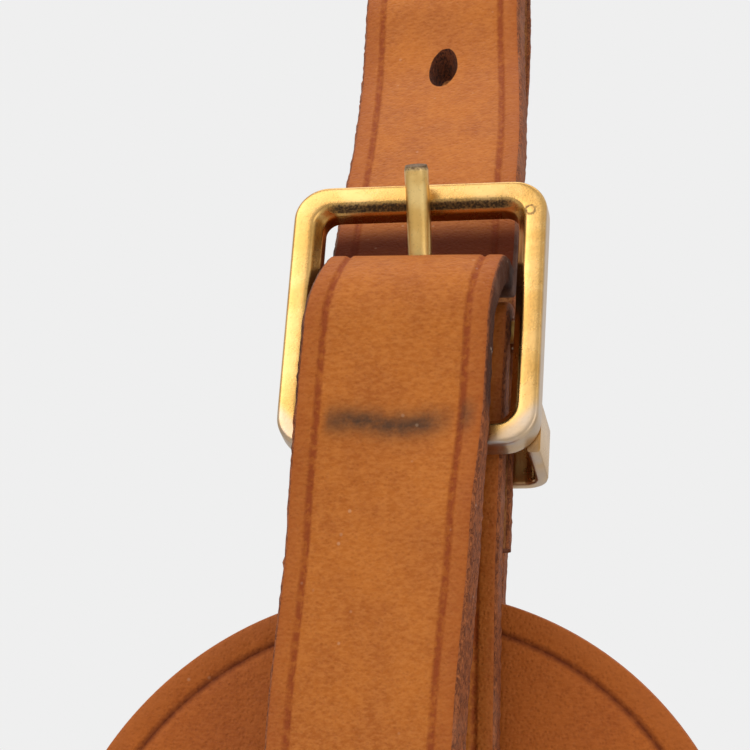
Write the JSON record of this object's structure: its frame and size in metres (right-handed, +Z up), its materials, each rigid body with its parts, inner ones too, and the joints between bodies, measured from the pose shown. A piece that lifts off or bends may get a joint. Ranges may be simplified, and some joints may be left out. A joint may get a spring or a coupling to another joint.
{
  "type": "luggage tag",
  "caption": "Leather luggage tag with a windowed card pocket, hung on a buckled strap that loops round a bag handle.",
  "frame": {"origin": "middle of the strap's loop, on the axis of the bag handle it hangs on", "axes": "+Z up along the tag, the tag's front faces -Y, X across the strap"},
  "size_m": [0.06, 0.0523, 0.1794],
  "materials": {
    "strap_leather": "vegetable-tanned natural leather, aged tan, fine grain, burnished",
    "tag_leather": "vegetable-tanned natural leather, darker tan, creased border",
    "gilt_metal": "gold-plated and polished, plating worn to silver at the lower edge",
    "clear_sheet": "clear flexible sheet",
    "card_stock": "uncoated off-white card",
    "thread": "waxed linen thread"
  },
  "bodies": {
    "root": {"strap": "strap_leather", "buckle_frame": "gilt_metal", "centre_bar": "gilt_metal", "keeper_loop": "gilt_metal", "strap_stitches": "thread"},
    "tongue": {"tongue": "gilt_metal"},
    "tag": {"tag_front": "tag_leather", "tag_back": "tag_leather", "window_pane": "clear_sheet", "tag_stitches": "thread"},
    "card": {"name_card": "card_stock"}
  },
  "joints": [
    {"name": "tongue_hinge", "type": "hinge", "parent": "root", "child": "tongue", "pos_m": [0, -0.0311, -0.03784], "axis": [1, 0, 0], "range_deg": [0, 6]},
    {"name": "tag_swing", "type": "hinge", "parent": "root", "child": "tag", "pos_m": [0, -0.02669, -0.0768], "axis": [1, 0, 0], "range_deg": [-4, 4]},
    {"name": "card_slide", "type": "slide", "parent": "tag", "child": "card", "axis": [1, 0, 0], "range_m": [0, 0.05]}
  ]
}
